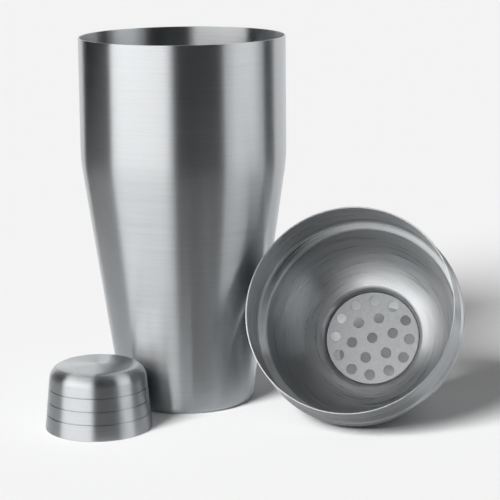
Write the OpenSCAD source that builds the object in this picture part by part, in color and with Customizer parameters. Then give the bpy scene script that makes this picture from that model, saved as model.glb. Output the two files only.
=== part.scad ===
// Three-piece cocktail shaker, taken apart on the table: tumbler upright,
// strainer top lying on its side, cap standing on its mouth.
// Every vessel is one drawn sheet: its outside is a path of straight runs
// and rounded corners, and the sheet lies on the left of that path.

/* [Sheet] */
// Thickness of the drawn steel sheet
wall = 0.6; // [0.4:0.1:0.9]
// Gap on the radius between two vessels that push together
push_gap = 0.15; // [0.05:0.05:0.3]

/* [Tumbler] */
// Outer diameter of the mouth
mouth_d = 90; // [80:1:104]
// Height of the tumbler
tumbler_h = 161.5; // [145:0.5:200]
// Height at which the cone would meet the straight upper wall
bend_h = 108; // [90:1:120]
// Outer diameter of the cone where it would meet the table
base_d = 58.4; // [50:0.1:66]
// Outer radius of the soft bend between the cone and the straight wall
bend_r = 70; // [30:5:110]
// Outer radius of the corner round the base
base_corner_r = 2.5; // [1.5:0.5:4]
// Width of the ring that the tumbler stands on
foot_w = 3; // [2:0.5:5]
// Height of the middle of the base above the table
base_lift = 1.2; // [0.6:0.1:2]

/* [Strainer top] */
// Length of the skirt that goes into the tumbler
skirt_len = 16.7; // [14:0.1:22]
// How far the bead stands out past the tumbler's mouth
bead_proud = 0.4; // [0.2:0.1:1]
// Height of the bead, from the end of the skirt to the foot of the dome
bead_h = 8.8; // [7.5:0.1:11]
// Outer radius of the bead's upper round
bead_round = 3.5; // [2.5:0.1:3.8]
// Width of the ledge from the bead in to the foot of the dome
ledge_w = 4.1; // [3.4:0.1:5.5]
// Height from the foot of the dome to the root of the neck
dome_h = 26.8; // [24:0.1:34]
// Slope at which the dome runs into the neck, in degrees
dome_slope = 18; // [12:1:24]
// Radius of the fillet at the root of the neck
root_r = 2.4; // [1.5:0.1:3]
// Outer diameter of the neck at its root
neck_d = 43.9; // [40:0.1:47]
// Length of the neck from its root to its lip
neck_len = 23.5; // [18:0.5:24]

/* [Strainer plate] */
// Depth of the plate's holed face past the root of the neck
plate_depth = 2.7; // [2.5:0.1:6]
// Height of the plate's turned-up edge
plate_edge_h = 1.2; // [1:0.1:1.6]
// Gap between the plate's edge and the neck that it is welded into
weld_gap = 0.05; // [0.03:0.01:0.15]
// Diameter of each hole
hole_d = 4.6; // [3:0.1:4.8]
// Diameter of the inner ring of holes, from centre to centre
inner_ring_d = 18.6; // [15:0.1:20]
// Diameter of the outer ring of holes, from centre to centre
outer_ring_d = 33.3; // [31:0.1:34]

/* [Cap] */
// Height of the cap
cap_h = 27.4; // [25:0.1:32]
// How much smaller the cap's diameter is at its top than at its mouth
cap_taper = 5.3; // [3:0.1:7]
// Outer radius of the edge round the cap's top
cap_edge_r = 6; // [4:0.1:6.5]
// Rise of the cap's top toward its middle
cap_crown = 0.5; // [0.2:0.1:1]
// Height of the lowest measuring line above the cap's mouth
line_low = 6.8; // [5:0.1:8]
// Distance from one measuring line to the next
line_step = 5.5; // [4:0.1:6]
// Width of a measuring line
line_w = 0.4; // [0.3:0.05:0.6]
// Depth of a measuring line
line_depth = 0.12; // [0.05:0.01:0.15]

/* [Layout] */
// Turn of the strainer top to the right, in degrees
top_yaw = 18.5; // [0:0.5:30]
// How far the middle of the bead lies in front of the tumbler's axis
top_ahead = 12.5; // [0:0.1:24]
// Least gap between the strainer top's bead and the tumbler
top_gap = 0.6; // [0.4:0.1:20]
// Turn of the strainer plate's holes, in degrees
plate_turn = -16.6; // [-30:0.1:30]
// Direction from the tumbler to the cap, in degrees from +X
cap_bearing = 227.7; // [180:0.1:250]
// Gap between the cap and the tumbler
cap_gap = 1; // [0.8:0.1:20]

/* [Hidden] */
$fn = 180;

// Holes in each ring round the middle one, and measuring lines on the cap
INNER_HOLES = 6;
OUTER_HOLES = 12;
LINES = 3;

// Small radii and slopes of the press tools
step_r = 0.5;
ledge_r = 2;
dish_slope = 45;
bead_tilt = 56;
cut_margin = 1;
// Degrees of turn between the points of an arc
ARC_STEP = 4;

// Radii and heights of the tumbler
mouth_r = mouth_d / 2;
base_r = base_d / 2;
foot_r = base_r - base_corner_r;
dish_r = base_lift / (2 - 2 * cos(dish_slope));
dish_run = base_lift / tan(dish_slope);
function tumbler_r(z) = base_r + (mouth_r - base_r) * min(max(z / bend_h, 0), 1);

// Strainer top: radii, and heights along its own axis from the skirt's rim
skirt_r = mouth_r - wall - push_gap;
bead_r = mouth_r + bead_proud;
bead_low = skirt_len + bead_r - skirt_r;
bead_high = skirt_len + bead_h - ledge_w / tan(bead_tilt);
dome_foot_r = bead_r - ledge_w;
dome_foot = skirt_len + bead_h;
neck_r = neck_d / 2;
neck_root = dome_foot + dome_h;
neck_lip = neck_root + neck_len;
cap_lean = cap_taper / 2 / (cap_h - cap_crown);
function neck_r_at(s) = neck_r - cap_lean * (s - neck_root);

// The dome is the fullest round between the bead's ledge and the neck's fillet
dome_rise = (dome_foot_r - neck_r) * tan(dome_slope);
dome_corner = neck_root - dome_rise;
dome_turn = 90 - dome_slope;
root_turn = 90 - dome_slope - atan(cap_lean);
dome_room_up = (dome_foot_r - neck_r) / cos(dome_slope) - setback(root_r, root_turn);
dome_room_down = dome_corner - dome_foot - setback(ledge_r, bead_tilt);
dome_r = min(dome_room_up, dome_room_down) / tan(dome_turn / 2);

// Strainer plate: its holed face, and the edge that fits the neck's taper
plate_face = neck_root + plate_depth;
plate_rim = plate_face + wall - plate_edge_h;
plate_corner_r = plate_edge_h - wall / 2;
function plate_r_at(s) = neck_r_at(s) - wall - weld_gap;

// Cap: its mouth slides over the neck's root
cap_r = neck_r + push_gap + wall;
cap_top_r = cap_r - cap_taper / 2;
function cap_r_at(z) = cap_r - cap_lean * z;

// The cap's top is the fullest round between its edge and its middle
crown_slope = atan(2 * cap_crown / cap_top_r);
crown_room = cap_top_r / 2 / cos(crown_slope) - setback(cap_edge_r, 90 - atan(cap_lean) - crown_slope);
crown_r = crown_room / tan(crown_slope / 2);

// The strainer top lies on the neck's lip and on its dome or bead, whichever stands out more
lip_r = neck_r_at(neck_lip);
bead_mid_r = bead_r - bead_round;
bead_mid = bead_high - setback(bead_round, bead_tilt);
dome_mid_r = dome_foot_r - dome_r;
dome_mid = dome_corner - setback(dome_r, dome_turn);
function rest_dip(mid_r, mid, round_r) =
    atan2(mid_r - lip_r, neck_lip - mid) + asin(round_r / norm([mid_r - lip_r, neck_lip - mid]));
top_dip = max(rest_dip(bead_mid_r, bead_mid, bead_round), rest_dip(dome_mid_r, dome_mid, dome_r));
top_z = neck_lip * sin(top_dip) + lip_r * cos(top_dip);

// Sideways place at which the bead clears the tumbler by top_gap all round
bead_mid_z = top_z - bead_mid * sin(top_dip);
function bead_z(t) = bead_mid_z - bead_r * sin(t) * cos(top_dip);
function bead_back(t) = -top_ahead - bead_r * sin(t) * sin(top_dip);
function bead_room(t) = pow(tumbler_r(bead_z(t)) + top_gap, 2) - pow(bead_back(t), 2);
function bead_reach(t) = sqrt(max(bead_room(t), 0)) - bead_r * cos(t);
top_side = max([for (t = [90 : 1 : 270]) bead_reach(t)]);
top_back = -top_ahead - bead_mid * cos(top_dip);

// Place of the cap on the table
cap_reach = tumbler_r(cap_h) + cap_r + cap_gap;

// A path is a list of corners [radius from axis, height, rounding]
function xy(corner) = [corner[0], corner[1]];
function heading(a, b) = atan2(b[1] - a[1], b[0] - a[0]);
function step(d, angle) = d * [cos(angle), sin(angle)];
function half_turn(angle) = angle > 180 ? angle - 360 : angle < -180 ? angle + 360 : angle;
function turn_at(path, i) = half_turn(heading(path[i], path[i + 1]) - heading(path[i - 1], path[i]));
function setback(rounding, turn) = rounding * tan(abs(turn) / 2);

// Points of the arc at a corner, at a depth under the outside of the sheet
function arc_points(path, i, depth) =
    let (
        turn = turn_at(path, i),
        side = sign(turn),
        into = heading(path[i - 1], path[i]),
        start = xy(path[i]) - step(setback(path[i][2], turn), into),
        centre = start + step(path[i][2], into + 90 * side),
        radius = path[i][2] - side * depth,
        steps = ceil(abs(turn) / ARC_STEP)
    )
    [for (k = [0 : steps]) centre + step(radius, into - 90 * side + turn * k / steps)];

// Through the sheet at an end of its path: straight along the axis there, or level at a trimmed rim
function through(end, angle, depth) = end[0] == 0 ? [0, depth * sign(cos(angle))] : [-depth / sin(angle), 0];

// One face of the sheet: the outside at depth 0, the inside at the wall's depth
function face_points(path, depth) =
    let (last = len(path) - 1)
    [
        xy(path[0]) + through(path[0], heading(path[0], path[1]), depth),
        for (i = [1 : last - 1]) each arc_points(path, i, depth),
        xy(path[last]) + through(path[last], heading(path[last - 1], path[last]), depth),
    ];

function reversed(points) = [for (i = [len(points) - 1 : -1 : 0]) points[i]];

// A vessel: the sheet along its path, turned round the axis
module vessel(path) {
    rotate_extrude()
        polygon(concat(face_points(path, 0), reversed(face_points(path, wall))));
}

// Put a piece, drawn upright on its skirt, where the strainer top lies
module lying() {
    rotate(-top_yaw)
        translate([top_side, top_back, top_z])
        rotate([-90 - top_dip, 0, 0])
        children();
}

// Deep-drawn cup: dished base, foot ring, cone, soft bend, straight mouth
module tumbler() {
    color("silver") vessel([
        [0, base_lift, 0],
        [foot_r - foot_w - dish_run, base_lift, dish_r],
        [foot_r - foot_w, 0, dish_r],
        [base_r, 0, base_corner_r],
        [mouth_r, bend_h, bend_r],
        [mouth_r, tumbler_h, 0],
    ]);
}

// Skirt, bead that sits on the tumbler's rim, dome and tapered open neck
module strainer_top() {
    color("silver") lying() vessel([
        [skirt_r, 0, 0],
        [skirt_r, skirt_len, step_r],
        [bead_r, bead_low, step_r + wall],
        [bead_r, bead_high, bead_round],
        [dome_foot_r, dome_foot, ledge_r],
        [dome_foot_r, dome_corner, dome_r],
        [neck_r, neck_root, root_r],
        [neck_r_at(neck_lip), neck_lip, 0],
    ]);
}

// Shallow pan welded into the neck, with rings of holes round a middle one
module strainer_plate() {
    color("lightgray") lying() difference() {
        vessel([
            [plate_r_at(plate_rim), plate_rim, 0],
            [plate_r_at(plate_face + wall), plate_face + wall, plate_corner_r],
            [0, plate_face + wall, 0],
        ]);
        translate([0, 0, plate_face - cut_margin]) rotate(plate_turn) {
            hole_ring(0, 1);
            hole_ring(inner_ring_d, INNER_HOLES);
            rotate(180 / OUTER_HOLES) hole_ring(outer_ring_d, OUTER_HOLES);
        }
    }
}

// Evenly spaced holes on a circle
module hole_ring(ring_d, count) {
    for (k = [0 : count - 1])
        rotate(k * 360 / count)
            translate([ring_d / 2, 0, 0])
            cylinder(d = hole_d, h = wall + 2 * cut_margin);
}

// Tapered measure with a crowned top and scribed measuring lines
module cap() {
    color("silver") rotate(cap_bearing) translate([cap_reach, 0, 0]) difference() {
        vessel([
            [cap_r, 0, 0],
            [cap_top_r, cap_h - cap_crown, cap_edge_r],
            [cap_top_r / 2, cap_h, crown_r],
            [0, cap_h, 0],
        ]);
        for (k = [0 : LINES - 1]) scribed_line(line_low + k * line_step);
    }
}

// A groove of round section, cut to line_depth in the cap's outside
module scribed_line(z) {
    rotate_extrude()
        translate([cap_r_at(z) + line_w / 2 - line_depth, z]) circle(d = line_w, $fn = 24);
}

tumbler();
strainer_top();
strainer_plate();
cap();
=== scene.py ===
# %% [markdown]
# # A brushed steel cocktail shaker, taken apart
# Three drawn vessels and a strainer plate: the tumbler stands, the strainer top lies on its
# side and the cap stands on its mouth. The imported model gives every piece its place, and this
# lesson dresses each of them with a finer mesh and a brushed finish.

# %% Load the frame
import bpy
from math import atan, atan2, ceil, cos, hypot, pi, radians, sin, tan
from mathutils import Euler, Matrix, Vector


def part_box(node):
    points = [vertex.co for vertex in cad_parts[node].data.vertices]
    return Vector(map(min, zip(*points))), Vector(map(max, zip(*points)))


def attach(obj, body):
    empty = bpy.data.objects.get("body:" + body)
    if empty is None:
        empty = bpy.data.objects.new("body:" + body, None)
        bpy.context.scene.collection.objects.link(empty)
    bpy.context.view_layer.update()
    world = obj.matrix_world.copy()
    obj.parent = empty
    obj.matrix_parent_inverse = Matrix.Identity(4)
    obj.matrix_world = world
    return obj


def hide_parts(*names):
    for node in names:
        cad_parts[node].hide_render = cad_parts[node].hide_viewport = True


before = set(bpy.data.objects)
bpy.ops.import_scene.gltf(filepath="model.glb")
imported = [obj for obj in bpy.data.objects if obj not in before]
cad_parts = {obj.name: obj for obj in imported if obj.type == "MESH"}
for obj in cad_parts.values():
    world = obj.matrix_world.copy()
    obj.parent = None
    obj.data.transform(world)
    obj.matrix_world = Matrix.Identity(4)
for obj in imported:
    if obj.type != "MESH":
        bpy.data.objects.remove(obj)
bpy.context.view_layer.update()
MM = 0.001

# %% [markdown]
# ## The camera
# The photograph was taken from a little above the pieces, with a long lens. A camera can be
# placed by eye, or solved from the rims and walls whose sizes are known. It was solved here, so
# the numbers below are a place, three turns, a focal length in pixels and the point of the
# picture that the lens looks straight at. That point isn't the middle, because the picture was
# cropped, and the camera's shift says so.

# %% Camera
PICTURE = 500
CAMERA_AT = Vector((-0.01117, -0.78574, 0.23370))
CAMERA_PITCH = radians(9.814)
CAMERA_YAW = radians(1.646)
CAMERA_ROLL = radians(-0.754)
FOCAL_PX = 1815.1
AIM_PX = (210, 180)
SENSOR = 36

lens = bpy.data.cameras.new("photo_camera")
lens.sensor_width = SENSOR
lens.lens = FOCAL_PX / PICTURE * SENSOR
lens.shift_x = (PICTURE / 2 - AIM_PX[0]) / PICTURE
lens.shift_y = (AIM_PX[1] - PICTURE / 2) / PICTURE
camera = bpy.data.objects.new("photo_camera", lens)
bpy.context.scene.collection.objects.link(camera)
level = Euler((pi / 2 - CAMERA_PITCH, 0, -CAMERA_YAW)).to_matrix()
look = level @ Matrix.Rotation(CAMERA_ROLL, 3, "Z")
camera.matrix_world = Matrix.Translation(CAMERA_AT) @ look.to_4x4()
bpy.context.scene.camera = camera
print(f"lens {lens.lens:.1f} mm, shift {lens.shift_x:.3f} {lens.shift_y:.3f}")

# %% [markdown]
# ## Drawing a sheet
# Every vessel is one sheet of steel, pressed round an axis. By hand, it is drawn as half an
# outline and spun: a vertex is extruded along the straight runs and spun through the corners,
# then the whole line is spun round the axis. A subdivided cylinder would be quicker, but its
# corners would have no true radius, and polished metal shows that at once.

# %% Straight runs of an outline
ROW = 4.0
RIM_ROW = 0.4
SAME_PLACE = 1e-6


def begin(name, radius, height):
    """One vertex on the outline, in a new object that is open in edit mode."""
    bpy.ops.object.select_all(action="DESELECT")
    bpy.ops.mesh.primitive_plane_add(size=MM, enter_editmode=True, location=(0, 0, 0))
    piece = bpy.context.object
    piece.name = piece.data.name = name
    bpy.ops.mesh.select_mode(type="VERT")
    bpy.ops.mesh.merge(type="CENTER")
    bpy.ops.transform.translate(value=(radius * MM, 0, height * MM))
    return piece


def run(start, end, rows):
    """Extrude the last vertex along a straight run, in equal rows."""
    step = (Vector(end) - Vector(start)) * MM / rows
    for _ in range(rows):
        bpy.ops.mesh.extrude_region_move(TRANSFORM_OT_translate={"value": (step.x, 0, step.y)})


def straight(start, end, from_rim=False, to_rim=False):
    """A straight run in rows of about ROW, with one short row beside an open rim."""
    length = (end - start).length
    if length < SAME_PLACE:
        return
    short = (end - start) / length * min(RIM_ROW, length / 3)
    first = start + short if from_rim and start.x > 0 else start
    last = end - short if to_rim and end.x > 0 else end
    if first != start:
        run(start, first, 1)
    run(first, last, max(1, ceil((last - first).length / ROW)))
    if last != end:
        run(last, end, 1)


# %% Rounded corners of an outline
ARC_STEP = radians(4)
STRAIGHT_ON = radians(0.01)


def heading(a, b):
    return atan2(b[1] - a[1], b[0] - a[0])


def toward(point, distance, angle):
    return Vector((point[0] + distance * cos(angle), point[1] + distance * sin(angle)))


def outline(name, corners):
    """Draw the outside of a sheet through corners (radius, height, rounding), in millimetres."""
    piece = begin(name, corners[0][0], corners[0][1])
    rim = at = Vector(corners[0][:2])
    for before, corner, after in zip(corners, corners[1:], corners[2:]):
        into = heading(before, corner)
        turn = (heading(corner, after) - into + pi) % (2 * pi) - pi
        side = 1 if turn > 0 else -1
        setback = corner[2] * tan(abs(turn) / 2)
        start = toward(corner, -setback, into)
        straight(at, start, from_rim=at == rim)
        at = start
        if abs(turn) < STRAIGHT_ON:
            continue
        centre = toward(start, corner[2], into + side * pi / 2)
        bpy.ops.mesh.spin(steps=max(2, ceil(abs(turn) / ARC_STEP)), angle=turn,
                          center=(centre.x * MM, 0, centre.y * MM), axis=(0, 1, 0))
        at = toward(corner, setback, into + turn)
    straight(at, Vector(corners[-1][:2]), to_rim=True)
    return piece


# %% [markdown]
# The spun surface has no thickness yet. Solidify gives it the sheet's own, inward, and a small
# bevel takes the edge off the rim, where real steel is deburred and catches a thin bright line.
# Drawing both faces of the sheet in the outline would do as well, with every corner drawn twice.

# %% Spin and thicken
AROUND = 192
WALL = 0.6
RIM_EASE = 0.18
RIM_SEGMENTS = 3
RIM_ANGLE = radians(60)
MERGE = 0.001


def weld(distance):
    """Merge the vertices of the piece in edit mode that lie on top of each other."""
    bpy.ops.mesh.select_all(action="SELECT")
    bpy.ops.mesh.remove_doubles(threshold=distance * MM)


def pressed(piece):
    """Spin the open outline round the axis and close it, leaving the piece in object mode."""
    bpy.ops.mesh.select_all(action="SELECT")
    bpy.ops.mesh.spin(steps=AROUND, angle=2 * pi, center=(0, 0, 0), axis=(0, 0, 1))
    weld(MERGE)
    bpy.ops.mesh.normals_make_consistent(inside=False)
    bpy.ops.object.mode_set(mode="OBJECT")
    return piece


def use(piece, kind, **settings):
    """Add a modifier to the piece, set it and apply it."""
    modifier = piece.modifiers.new(kind.title(), kind)
    for name, value in settings.items():
        setattr(modifier, name, value)
    bpy.ops.object.modifier_apply(modifier=modifier.name)


def thicken(piece):
    """Give the spun surface the thickness of the sheet, inward."""
    use(piece, "SOLIDIFY", thickness=WALL * MM, offset=-1, use_even_offset=True)


def ease(piece, width, segments, angle):
    """Bevel the edges that are sharper than the angle."""
    use(piece, "BEVEL", width=width * MM, segments=segments, limit_method="ANGLE",
        angle_limit=angle)


# %% Smooth shading
CREASE = radians(35)
FACE_WEIGHT = 80


def pick(piece):
    """Select this piece alone and make it the active one."""
    bpy.ops.object.select_all(action="DESELECT")
    piece.select_set(True)
    bpy.context.view_layer.objects.active = piece


def smooth(piece):
    """Smooth shading that leaves crisp edges, and lets the larger face rule the normal."""
    pick(piece)
    bpy.ops.object.shade_smooth_by_angle(angle=CREASE)
    use(piece, "WEIGHTED_NORMAL", keep_sharp=True, weight=FACE_WEIGHT)
    print(piece.name, len(piece.data.polygons), "faces",
          [round(x / MM, 2) for x in piece.dimensions])


# %% [markdown]
# ## The tumbler
# A deep-drawn cup: a cone that bends softly into a straight mouth, on a base that is dished so
# that it stands on a ring. Scaling the loops of a cylinder would give the cone, but not the even
# radius of the bend, so it is drawn as an outline that starts in the middle of the base and ends
# at the rim.

# %% Tumbler
MOUTH_R = 45.0
TUMBLER_H = 161.5
BEND_H = 108.0
BASE_R = 29.2
BEND_R = 70.0
BASE_CORNER = 2.5
FOOT_W = 3.0
BASE_LIFT = 1.2
DISH_SLOPE = pi / 4

dish_r = BASE_LIFT / (2 - 2 * cos(DISH_SLOPE))
dish_edge = BASE_R - BASE_CORNER - FOOT_W
tumbler = pressed(outline("tumbler_sheet", [
    (0, BASE_LIFT, 0),
    (dish_edge - BASE_LIFT, BASE_LIFT, dish_r),
    (dish_edge, 0, dish_r),
    (BASE_R, 0, BASE_CORNER),
    (MOUTH_R, BEND_H, BEND_R),
    (MOUTH_R, TUMBLER_H, 0),
]))
thicken(tumbler)
ease(tumbler, RIM_EASE, RIM_SEGMENTS, RIM_ANGLE)
smooth(tumbler)

# %% [markdown]
# ## The strainer top
# Skirt, bead, dome and neck come from one sheet, and the skirt pushes into the tumbler. The bead
# could be a ring of its own, but in one sheet its inside is a groove, as on the real one. The
# piece is drawn upright on its skirt, like the tumbler, and laid down at the end.

# %% Skirt, bead and dome
PUSH_GAP = 0.15
SKIRT_R = MOUTH_R - WALL - PUSH_GAP
SKIRT_LEN = 16.7
BEAD_OUT = 0.4
BEAD_R = MOUTH_R + BEAD_OUT
BEAD_H = 8.8
BEAD_ROUND = 3.5
BEAD_TILT = radians(56)
LEDGE_W = 4.1
STEP_R = 0.5
LEDGE_R = 2.0
DOME_H = 26.8
DOME_SLOPE = radians(18)

dome_foot_r = BEAD_R - LEDGE_W
dome_foot = SKIRT_LEN + BEAD_H
neck_root = dome_foot + DOME_H
print("dome from", dome_foot, "to", neck_root)

# %% [markdown]
# The neck tapers as the cap does, so the cap's lean is needed here. The dome's radius isn't given.
# It is the largest that leaves room for the ledge below it and the fillet above it.

# %% Neck and strainer top
ROOT_R = 2.4
NECK_R = 21.95
NECK_LEN = 23.5
CAP_H = 27.4
CAP_TAPER = 5.3
CAP_CROWN = 0.5
CAP_LEAN = CAP_TAPER / 2 / (CAP_H - CAP_CROWN)

neck_lip = neck_root + NECK_LEN
lip_r = NECK_R - CAP_LEAN * NECK_LEN
dome_w = dome_foot_r - NECK_R
dome_corner = neck_root - dome_w * tan(DOME_SLOPE)
dome_turn = pi / 2 - DOME_SLOPE
root_turn = dome_turn - atan(CAP_LEAN)
room_up = dome_w / cos(DOME_SLOPE) - ROOT_R * tan(root_turn / 2)
room_down = dome_corner - dome_foot - LEDGE_R * tan(BEAD_TILT / 2)
dome_r = min(room_up, room_down) / tan(dome_turn / 2)

strainer_top = pressed(outline("strainer_top_sheet", [
    (SKIRT_R, 0, 0),
    (SKIRT_R, SKIRT_LEN, STEP_R),
    (BEAD_R, SKIRT_LEN + BEAD_R - SKIRT_R, STEP_R + WALL),
    (BEAD_R, dome_foot - LEDGE_W / tan(BEAD_TILT), BEAD_ROUND),
    (dome_foot_r, dome_foot, LEDGE_R),
    (dome_foot_r, dome_corner, dome_r),
    (NECK_R, neck_root, ROOT_R),
    (lip_r, neck_lip, 0),
]))
thicken(strainer_top)
ease(strainer_top, RIM_EASE, RIM_SEGMENTS, RIM_ANGLE)
print("dome radius", round(dome_r, 2), "lip radius", round(lip_r, 2))

# %% [markdown]
# ## The strainer plate
# A shallow pan with rings of punched holes, welded into the root of the neck. Its edge is turned
# away from the mouth, so the flat face reaches the wall of the neck and a dark line runs round
# it. Holes could be painted in the material, but here light passes through them. Only the edge
# is spun. The face is filled as one flat face, because holes cut cleanly from a single face.

# %% Pan
PLATE_DEPTH = 2.7
PLATE_EDGE = 1.2
WELD_GAP = 0.05
INNER_BEND = 0.05
PLATE_CORNER = WALL + INNER_BEND
FLAT_INSET = 1.5 * PLATE_CORNER
LOOP_GAP = 0.04

plate_back = neck_root + PLATE_DEPTH + WALL
plate_front = plate_back - PLATE_EDGE


def plate_r(height):
    return NECK_R - CAP_LEAN * (height - neck_root) - WALL - WELD_GAP


flat_r = plate_r(plate_front) - FLAT_INSET
strainer_plate = pressed(outline("strainer_plate_sheet", [
    (plate_r(plate_back), plate_back, 0),
    (plate_r(plate_front), plate_front, PLATE_CORNER),
    (flat_r, plate_front, 0),
]))
bpy.ops.object.mode_set(mode="EDIT")
bpy.ops.mesh.select_mode(type="EDGE")
bpy.ops.mesh.select_all(action="DESELECT")
bpy.ops.object.mode_set(mode="OBJECT")
for edge in strainer_plate.data.edges:
    ends = [strainer_plate.data.vertices[v].co for v in edge.vertices]
    edge.select = all(hypot(p.x, p.y) < (flat_r + LOOP_GAP) * MM for p in ends)
bpy.ops.object.mode_set(mode="EDIT")
bpy.ops.mesh.edge_face_add()
bpy.ops.mesh.select_all(action="SELECT")
bpy.ops.mesh.normals_make_consistent(inside=False)
bpy.ops.object.mode_set(mode="OBJECT")
thicken(strainer_plate)
print("flat face", round(2 * flat_r, 2), "mm across")

# %% [markdown]
# The holes are punched with cylinders in one Boolean, and a bevel eases their rims. Where the
# bevel meets the turned edge it leaves vertices on top of each other, so these are merged.

# %% Holes
HOLE_R = 2.3
HOLE_RINGS = ((0, 1, 0), (9.3, 6, 0), (16.65, 12, 15))  # radius, holes, degrees ahead
PLATE_TURN = -16.6
HOLE_SIDES = 32
PUNCH_LEN = 6 * WALL
HOLE_EASE = 0.22
HOLE_SEGMENTS = 2
HOLE_ANGLE = radians(50)
HOLE_MERGE = 0.005


def punches():
    """One object of upright cylinders, at every hole of the plate."""
    bpy.ops.object.select_all(action="DESELECT")
    made = []
    for ring, count, ahead in HOLE_RINGS:
        for k in range(count):
            angle = radians(PLATE_TURN + ahead + k * 360 / count)
            place = (ring * cos(angle) * MM, ring * sin(angle) * MM, plate_front * MM)
            bpy.ops.mesh.primitive_cylinder_add(vertices=HOLE_SIDES, radius=HOLE_R * MM,
                                                depth=PUNCH_LEN * MM, location=place)
            made.append(bpy.context.object)
    for punch in made:
        punch.select_set(True)
    bpy.ops.object.join()
    print(len(made), "holes to punch")
    return bpy.context.object


punch = punches()
pick(strainer_plate)
use(strainer_plate, "BOOLEAN", object=punch, operation="DIFFERENCE", solver="EXACT")
bpy.data.objects.remove(punch)
ease(strainer_plate, HOLE_EASE, HOLE_SEGMENTS, HOLE_ANGLE)
bpy.ops.object.mode_set(mode="EDIT")
weld(HOLE_MERGE)
bpy.ops.object.mode_set(mode="OBJECT")

# %% [markdown]
# Both pieces of the top are laid down together: dipped about X until the dome and the lip rest on
# the table, turned about Z, and moved until the top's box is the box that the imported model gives
# it. The move is made in the mesh, so the objects stay at the origin.

# %% Lay the top down
TOP_YAW = radians(18.5)
TOP_DIP = radians(27.1014)

lay = Matrix.Rotation(-TOP_YAW, 4, "Z") @ Matrix.Rotation(-pi / 2 - TOP_DIP, 4, "X")
turned = [lay @ v.co for v in strainer_top.data.vertices]
centre = Vector([(min(p[i] for p in turned) + max(p[i] for p in turned)) / 2 for i in range(3)])
low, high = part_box("strainer_top")
lay = Matrix.Translation((low + high) / 2 - centre) @ lay
for piece in (strainer_top, strainer_plate):
    piece.data.transform(lay)
    smooth(piece)
TOP_AT = lay.translation
TOP_AXIS = lay.to_3x3() @ Vector((0, 0, 1))
print("top at", [round(x / MM, 2) for x in TOP_AT], "axis", [round(x, 3) for x in TOP_AXIS])

# %% [markdown]
# ## The cap
# It covers the neck, and turned over it is a measure, with lines scribed round it. A bump in the
# material could show the lines, but a real groove stays in the mesh. Each line is three loops of
# the sheet, and the middle one is pressed inward after the sheet has its thickness, so the inside
# stays smooth.

# %% Cap
CAP_R = NECK_R + PUSH_GAP + WALL
CAP_EDGE = 6.0
LINE_LOW = 6.8
LINE_STEP = 5.5
LINES = 3
LINE_W = 0.5

cap_top_r = CAP_R - CAP_TAPER / 2
crown_slope = atan(2 * CAP_CROWN / cap_top_r)
edge_turn = pi / 2 - atan(CAP_LEAN) - crown_slope
crown_room = cap_top_r / 2 / cos(crown_slope) - CAP_EDGE * tan(edge_turn / 2)
crown_r = crown_room / tan(crown_slope / 2)


def cap_r(height):
    return CAP_R - CAP_LEAN * height


line_heights = [LINE_LOW + k * LINE_STEP for k in range(LINES)]
line_rows = [h + side * LINE_W / 2 for h in line_heights for side in (-1, 0, 1)]
cap = pressed(outline("cap_sheet", [
    (CAP_R, WALL * CAP_LEAN, 0),
    *[(cap_r(h), h, 0) for h in line_rows],
    (cap_top_r, CAP_H - CAP_CROWN, CAP_EDGE),
    (cap_top_r / 2, CAP_H, crown_r),
    (0, CAP_H, 0),
]))
thicken(cap)
ease(cap, RIM_EASE, RIM_SEGMENTS, RIM_ANGLE)
print("lines at", line_heights)

# %% Scribe the lines
LINE_DEPTH = 0.3
LOOP_REACH = LINE_W / 8

bpy.ops.object.mode_set(mode="EDIT")
bpy.ops.mesh.select_mode(type="VERT")
bpy.ops.mesh.select_all(action="DESELECT")
bpy.ops.object.mode_set(mode="OBJECT")
for height in line_heights:
    for vertex in cap.data.vertices:
        outside = hypot(vertex.co.x, vertex.co.y) > (cap_r(height) - WALL / 2) * MM
        vertex.select = outside and abs(vertex.co.z - height * MM) < LOOP_REACH * MM
    bpy.ops.object.mode_set(mode="EDIT")
    smaller = 1 - LINE_DEPTH / cap_r(height)
    bpy.ops.transform.resize(value=(smaller, smaller, 1), center_override=(0, 0, height * MM))
    bpy.ops.mesh.select_all(action="DESELECT")
    bpy.ops.object.mode_set(mode="OBJECT")
low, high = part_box("cap")
CAP_AT = Vector(((low.x + high.x) / 2, (low.y + high.y) / 2, 0))
cap.data.transform(Matrix.Translation(CAP_AT))
smooth(cap)

# %% [markdown]
# ## Brushed steel
# The vessels were brushed on a lathe, so fine lines run round every one of them. They spread a
# reflection along the axis and leave it sharp round it, which is why the metal shows upright
# bands. An image of brushed metal would have to be unwrapped, and would not do this. The shader
# does it with its anisotropy and a tangent that runs round the axis. First come a few helpers
# that make nodes and link them.

# %% Shader helpers
NOISE_LOW = 0.3
NOISE_HIGH = 0.7
DENT_DEPTH = 0.02


def node(tree, kind, **settings):
    made = tree.nodes.new("ShaderNode" + kind)
    for name, value in settings.items():
        setattr(made, name, value)
    return made


def feed(tree, value, socket):
    """Link an output to an input, or set the input to a number or a vector."""
    if isinstance(value, bpy.types.NodeSocket):
        tree.links.new(value, socket)
    else:
        socket.default_value = value


def vector_math(tree, operation, *values):
    made = node(tree, "VectorMath", operation=operation)
    for socket, value in zip(made.inputs, values):
        feed(tree, value, socket)
    return made.outputs["Value" if operation in ("DOT_PRODUCT", "LENGTH") else "Vector"]


def scaled(tree, vector, factor):
    made = node(tree, "VectorMath", operation="SCALE")
    feed(tree, vector, made.inputs[0])
    feed(tree, factor, made.inputs["Scale"])
    return made.outputs["Vector"]


def number(tree, operation, *values):
    made = node(tree, "Math", operation=operation)
    for socket, value in zip(made.inputs, values):
        feed(tree, value, socket)
    return made.outputs[0]


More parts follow.
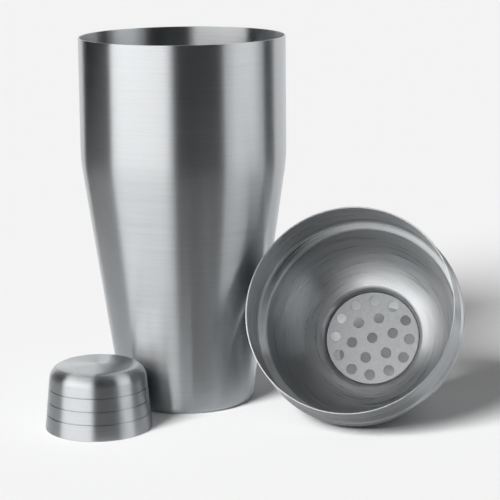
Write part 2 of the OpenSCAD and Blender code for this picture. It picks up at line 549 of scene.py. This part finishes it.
def span(tree, value, low, high, low_in=NOISE_LOW, high_in=NOISE_HIGH):
    """Spread a value, such as a noise, over a range."""
    made = node(tree, "MapRange")
    tree.links.new(value, made.inputs["Value"])
    made.inputs["From Min"].default_value = low_in
    made.inputs["From Max"].default_value = high_in
    made.inputs["To Min"].default_value = low
    made.inputs["To Max"].default_value = high
    return made.outputs["Result"]


# %% [markdown]
# Both finishes of this set use the same three steps: a metal shader, a tone that moves between
# two colours, and a shallow bump.

# %% Metal helpers
def metal(name):
    """A new metal material, its node tree and its shader."""
    made = bpy.data.materials.new(name)
    made.use_nodes = True
    shader = made.node_tree.nodes["Principled BSDF"]
    shader.inputs["Metallic"].default_value = 1.0
    return made, made.node_tree, shader


def tone_between(tree, noise, dark, light, shader):
    shade = node(tree, "Mix", data_type="RGBA")
    tree.links.new(span(tree, noise, 0.0, 1.0), shade.inputs["Factor"])
    shade.inputs["A"].default_value = (*dark, 1)
    shade.inputs["B"].default_value = (*light, 1)
    tree.links.new(shade.outputs["Result"], shader.inputs["Base Color"])


def dent(tree, noise, strength, shader):
    bump = node(tree, "Bump")
    bump.inputs["Strength"].default_value = strength
    bump.inputs["Distance"].default_value = DENT_DEPTH * MM
    tree.links.new(noise, bump.inputs["Height"])
    tree.links.new(bump.outputs["Normal"], shader.inputs["Normal"])


def wear(piece, finish):
    """Give the piece this finish alone."""
    piece.data.materials.clear()
    piece.data.materials.append(finish)
    print(piece.name, "wears", finish.name)


# %% [markdown]
# Streaks of noise, long round the axis and thin along it, vary the roughness, the tone and the
# height a little. There are fine ones and coarse ones. The flat top of the cap is smoother than
# its wall, so there the roughness falls with the height.

# %% Brushed finish
FINE_SCALE = 2400.0
COARSE_SCALE = 500.0
TURN_SCALE = 1.6
STREAK_DETAIL = 1.0
FINE_SHARE = 0.7
COARSE_SHARE = 0.3
BRUSH_DENT = 0.04
LIGHT_SHARE = 0.6
TOP_POLISH = 0.16
QUARTER_TURN = 0.25
STEEL = (0.485, 0.505, 0.522)
BRUSH_ROUGH = (0.32, 0.40)
BRUSH_MARK = 0.08


def streaks(tree, along, around, radius, axis, scale):
    """Noise that is fine along the axis and the radius, and long round the axis."""
    lifted = scaled(tree, axis, number(tree, "MULTIPLY", along, scale))
    spread = scaled(tree, around, TURN_SCALE)
    noise = node(tree, "TexNoise", noise_dimensions="4D")
    tree.links.new(vector_math(tree, "ADD", lifted, spread), noise.inputs["Vector"])
    tree.links.new(number(tree, "MULTIPLY", radius, scale), noise.inputs["W"])
    noise.inputs["Scale"].default_value = 1.0
    noise.inputs["Detail"].default_value = STREAK_DETAIL
    return noise.outputs["Fac"]


def brushed_steel(name, origin, axis, tone=STEEL, rough=BRUSH_ROUGH, mark=BRUSH_MARK,
                  smooth_top=None):
    """Steel brushed round an axis through the origin point."""
    made, tree, shader = metal(name)
    off = vector_math(tree, "SUBTRACT", node(tree, "TexCoord").outputs["Object"], origin)
    along = vector_math(tree, "DOT_PRODUCT", off, axis)
    across = vector_math(tree, "CROSS_PRODUCT", axis, off)
    radius = vector_math(tree, "LENGTH", across)
    around = vector_math(tree, "NORMALIZE", across)
    fine = streaks(tree, along, around, radius, axis, FINE_SCALE)
    coarse = streaks(tree, along, around, radius, axis, COARSE_SCALE)
    both = number(tree, "ADD", number(tree, "MULTIPLY", fine, FINE_SHARE),
                  number(tree, "MULTIPLY", coarse, COARSE_SHARE))
    rubbed = span(tree, both, *rough)
    if smooth_top:
        rubbed = number(tree, "SUBTRACT", rubbed,
                        span(tree, along, 0.0, TOP_POLISH, *smooth_top))
    tree.links.new(rubbed, shader.inputs["Roughness"])
    tone_between(tree, both, [x * (1 - mark) for x in tone],
                 [x * (1 + LIGHT_SHARE * mark) for x in tone], shader)
    dent(tree, both, BRUSH_DENT, shader)
    tree.links.new(across, shader.inputs["Tangent"])
    shader.inputs["Anisotropic"].default_value = 1.0
    shader.inputs["Anisotropic Rotation"].default_value = QUARTER_TURN
    return made


# %% Finishes of the three vessels
UP = Vector((0, 0, 1))
# The strainer top wears a darker copy of the same steel: painted shade that dims its highlights.
SHADED_TOP_STEEL = (0.455, 0.474, 0.49)
TOP_ROUGH = (0.25, 0.36)
TOP_MARK = 0.16
CAP_ROUGH = (0.34, 0.42)
POLISH_BAND = 0.6
CAP_SHOULDER = (CAP_H - CAP_CROWN - POLISH_BAND) * MM
CAP_FLAT = (CAP_H - CAP_CROWN) * MM

wear(tumbler, brushed_steel("brushed_tumbler", Vector((0, 0, 0)), UP))
wear(strainer_top, brushed_steel("brushed_top", TOP_AT, TOP_AXIS, tone=SHADED_TOP_STEEL,
                                 rough=TOP_ROUGH, mark=TOP_MARK))
wear(cap, brushed_steel("brushed_cap", CAP_AT, UP, rough=CAP_ROUGH,
                        smooth_top=(CAP_SHOULDER, CAP_FLAT)))

# %% [markdown]
# ## Satin steel
# The strainer plate was punched from plain sheet and never turned on a lathe, so its dull skin
# has no direction. A picture of sheet metal would have to be unwrapped onto it. Two noises do it
# here, a fine grain and a wider cloud, and they vary the roughness, the tone and the height
# together.

# %% Satin finish
GRAINS = ((2500.0, 0.55), (420.0, 0.45))  # scale, share
GRAIN_DETAIL = 3.0
SATIN_ROUGH = (0.36, 0.58)
SATIN_DENT = 0.15
SATIN_DARK = (0.26, 0.271, 0.28)
SATIN_LIGHT = (0.45, 0.469, 0.485)


def satin_steel(name):
    """Dull sheet steel with a fine grain and a wider cloud."""
    made, tree, shader = metal(name)
    place = node(tree, "TexCoord").outputs["Object"]
    parts = []
    for scale, share in GRAINS:
        grain = node(tree, "TexNoise")
        grain.inputs["Scale"].default_value = scale
        grain.inputs["Detail"].default_value = GRAIN_DETAIL
        tree.links.new(place, grain.inputs["Vector"])
        parts.append(number(tree, "MULTIPLY", grain.outputs["Fac"], share))
    both = number(tree, "ADD", *parts)
    tree.links.new(span(tree, both, *SATIN_ROUGH), shader.inputs["Roughness"])
    tone_between(tree, both, SATIN_DARK, SATIN_LIGHT, shader)
    dent(tree, both, SATIN_DENT, shader)
    return made


wear(strainer_plate, satin_steel("satin_plate"))

# %% [markdown]
# ## The studio
# Steel has little colour of its own, so what it shows is the room. The set stands on a pale floor
# in a white room. The floor is one large matt plane, because a floor with a sheen would mirror
# the lights beside the pieces.

# %% Floor
FLOOR_SHADE = 0.92
FLOOR_SIZE = 16


def matt(name, shade, glow=0.0):
    """A plain dull surface for the studio, which may shine white by itself."""
    made = bpy.data.materials.new(name)
    made.use_nodes = True
    paint = made.node_tree.nodes["Principled BSDF"]
    paint.inputs["Base Color"].default_value = (shade, shade, shade, 1)
    paint.inputs["Roughness"].default_value = 1.0
    paint.inputs["Specular IOR Level"].default_value = 0.0
    paint.inputs["Emission Color"].default_value = (1, 1, 1, 1)
    paint.inputs["Emission Strength"].default_value = glow
    return made


bpy.ops.object.select_all(action="DESELECT")
bpy.ops.mesh.primitive_plane_add(size=FLOOR_SIZE, location=(0, 0, 0))
floor = bpy.context.object
floor.name = "floor"
floor.data.materials.append(matt("pale_floor", FLOOR_SHADE))
print("floor", [round(x, 1) for x in floor.dimensions])

# %% [markdown]
# The room is white where the camera or the metal looks at it, and dim where it lights the floor.
# A white world that lit the floor just as strongly would wash out every shadow. The Light Path
# node tells the two apart.

# %% White room
ROOM_SEEN = 1.0
ROOM_LIGHT = 0.18

world = bpy.data.worlds.new("studio")
bpy.context.scene.world = world
world.use_nodes = True
sky = world.node_tree
backdrop = sky.nodes["Background"]
ray = node(sky, "LightPath").outputs
seen = number(sky, "ADD", ray["Is Camera Ray"], ray["Is Glossy Ray"])
seen = number(sky, "ADD", seen, ray["Is Transmission Ray"])
sky.links.new(span(sky, seen, ROOM_LIGHT, ROOM_SEEN, 0.0, 1.0), backdrop.inputs["Strength"])
backdrop.inputs["Color"].default_value = (1, 1, 1, 1)
bpy.context.scene.view_settings.view_transform = "Standard"
print("room seen", ROOM_SEEN, "room light", ROOM_LIGHT)

# %% [markdown]
# In a photographer's studio, dark cloths stand round bright metal to give it its form. The
# upright ones are the dark bands of the tumbler, and half a ceiling darkens the inside of the
# strainer top. A grey cloth on the floor under the strainer top is painted shadow: it puts the
# shadow under the top into the reflection of its underside. Another, at the foot of the cap,
# darkens the floor that the front of the cap mirrors. Only the metal sees them, so they throw no
# shadow and stay out of the picture.

# %% Cloths
SCREEN_STEPS = 24


def unseen(thing):
    """Leave a thing of the studio to the metal's reflections alone."""
    thing.visible_camera = thing.visible_diffuse = thing.visible_shadow = False


def screen(name, start, end, profile, cloth):
    """A curved cloth round the set, spun from a line of (distance, height) points in metres.

    The angles count from the camera's side, positive to the right."""
    made = begin(name, 0, 0)
    angle = radians(start - 90)
    out = Vector((cos(angle), sin(angle), 0))
    points = [out * r + Vector((0, 0, z)) for r, z in profile]
    bpy.ops.transform.translate(value=points[0])
    for here, there in zip(points, points[1:]):
        bpy.ops.mesh.extrude_region_move(TRANSFORM_OT_translate={"value": there - here})
    bpy.ops.mesh.select_all(action="SELECT")
    bpy.ops.mesh.spin(steps=SCREEN_STEPS, angle=-radians(end - start), center=(0, 0, 0),
                      axis=(0, 0, 1))
    bpy.ops.object.mode_set(mode="OBJECT")
    made.data.materials.append(cloth)
    unseen(made)
    print(name, "from", start, "to", end, "degrees")
    return made


# %% Hang the cloths
DARK_SHADE = 0.02
FOOT_SHADE = 0.36
CAP_SHADE = 0.38
CEILING_SHADE = 0.08
CEILING_H = 1.0
CEILING_REACH = 1.0
LOW = 0.003
FLAT = 0.0003
UPRIGHT = ((0.6, 0.01), (0.8, 0.3), (0.8, 1.0))

dark_cloth = matt("dark_cloth", DARK_SHADE)
screen("screen_left", -140, -85, ((0.34, LOW), *UPRIGHT), dark_cloth)
screen("screen_front", -11, 44, ((0.2, LOW), *UPRIGHT), dark_cloth)
screen("screen_right", 97, 117, ((0.3, LOW), *UPRIGHT), dark_cloth)
# A grey cloth under the strainer top, seen by the metal alone: painted shadow in the reflection of
# its underside.
screen("foot", 5, 72, ((0.045, FLAT), (0.125, FLAT)), matt("under_top_shadow_cloth", FOOT_SHADE))
cap_cloth = screen("cap_cloth", -8, 44, ((0.026, FLAT), (0.13, FLAT)),
                   matt("cap_cloth", CAP_SHADE))
cap_cloth.data.transform(Matrix.Translation(CAP_AT))
screen("ceiling", -120, 60, ((CEILING_REACH, CEILING_H), (0.0, CEILING_H)),
       matt("grey_cloth", CEILING_SHADE))

# %% [markdown]
# The upper holes of the strainer plate look onto the inner wall of the neck, which is bright in
# the photograph. It mirrors the floor behind the neck, where the tumbler's shadow lies, so a card
# that glows white by itself goes there for the metal alone: it paints a reflection of lit floor
# into that wall.

# %% Glowing card
CARD_SIZE = 0.09
CARD_AWAY = 0.06
CARD_HEIGHT = 0.0004
CARD_GLOW = 1.8

lip = TOP_AT + TOP_AXIS * neck_lip * MM
card_at = lip + Vector((TOP_AXIS.x, TOP_AXIS.y, 0)).normalized() * CARD_AWAY
bpy.ops.object.select_all(action="DESELECT")
bpy.ops.mesh.primitive_plane_add(size=CARD_SIZE, location=(card_at.x, card_at.y, CARD_HEIGHT),
                                 rotation=(0, 0, -TOP_YAW))
card = bpy.context.object
card.name = "glowing_card"
# The card is black and glows white by itself: a painted light that only the metal sees.
card.data.materials.append(matt("glowing_card", 0.0, glow=CARD_GLOW))
unseen(card)
print("card at", [round(x, 3) for x in card.location])

# %% [markdown]
# A wide softbox at the front left makes the bright bands, a little warm against the cool steel,
# and a weaker panel fills the right. Both light the metal only. A separate lamp lights the floor
# from the front left, so the shadow of the tumbler falls behind the strainer top, and the lower
# holes look onto it and are grey.

# %% Softbox and fill
AIM = Vector((0, 0, 0.12))
SOFTBOX_SIZE = (1.15, 0.56)
SOFTBOX_AT = (-0.62, -0.5, 0.36)
SOFTBOX_RADIANCE = 2.7
SOFTBOX_TINT = (1.0, 0.966, 0.942)
FILL_SIZE = (0.58, 0.7)
FILL_AT = (0.9, -0.3, 0.5)
FILL_RADIANCE = 1.0


def lamp_object(light, way):
    """Put a light into the scene, turned to shine along a direction."""
    made = bpy.data.objects.new(light.name, light)
    bpy.context.scene.collection.objects.link(made)
    made.rotation_euler = way.to_track_quat("-Z", "Y").to_euler()
    return made


def panel(name, size, at, radiance):
    """A rectangular area light of a given radiance that only the metal sees."""
    light = bpy.data.lights.new(name, "AREA")
    light.shape = "RECTANGLE"
    light.size, light.size_y = size
    light.energy = radiance * pi * size[0] * size[1]
    made = lamp_object(light, AIM - Vector(at))
    made.location = at
    made.visible_camera = made.visible_diffuse = False
    print(name, round(light.energy, 2), "watts")
    return made


softbox = panel("softbox", SOFTBOX_SIZE, SOFTBOX_AT, SOFTBOX_RADIANCE)
softbox.data.color = SOFTBOX_TINT
panel("fill", FILL_SIZE, FILL_AT, FILL_RADIANCE)

# %% Floor lamp
LAMP_STRENGTH = 4.7
LAMP_SOFTNESS = radians(25)
LAMP_WAY = Vector((0.55, 0.62, -0.52))

sun = bpy.data.lights.new("lamp", "SUN")
sun.energy = LAMP_STRENGTH
sun.angle = LAMP_SOFTNESS
lamp_object(sun, LAMP_WAY).visible_glossy = False
print("lamp", sun.energy)

# %% [markdown]
# ## What moves with what
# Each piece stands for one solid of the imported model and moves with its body. The plate is welded
# to the strainer top, so the two share one body.

# %% Ride
for piece, solid, body, slot in (
        (tumbler, "tumbler", "tumbler", "brushed_steel"),
        (strainer_top, "strainer_top", "strainer_top", "brushed_steel"),
        (strainer_plate, "strainer_plate", "strainer_top", "satin_steel"),
        (cap, "cap", "cap", "brushed_steel")):
    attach(piece, body)
    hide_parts(solid)
    print(piece.name, "rides on", body)
